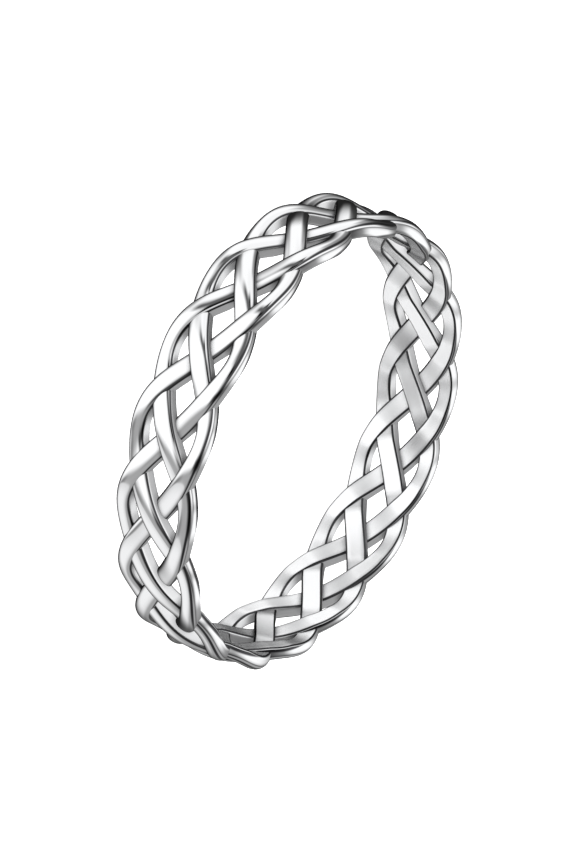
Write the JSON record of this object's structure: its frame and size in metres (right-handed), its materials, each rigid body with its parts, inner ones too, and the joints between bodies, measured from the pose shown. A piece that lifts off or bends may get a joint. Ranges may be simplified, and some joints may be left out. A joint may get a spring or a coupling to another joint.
{
  "type": "celtic knot ring",
  "caption": "Finger ring whose band is an open plait of one round-topped strand, with scalloped edges, flat inner faces and a plain round finger hole.",
  "frame": {"origin": "on the surface that the ring lies on, in the middle of the finger hole", "axes": "+Z along the finger hole, up as the ring lies on its side; -Y towards the side that the picture shows from outside"},
  "size_m": [0.0197, 0.0196, 0.0037],
  "materials": {
    "polished_silver": "mirror polished sterling silver, bright and untarnished"
  },
  "bodies": {
    "root": {"woven_band": "polished_silver"}
  },
  "joints": []
}
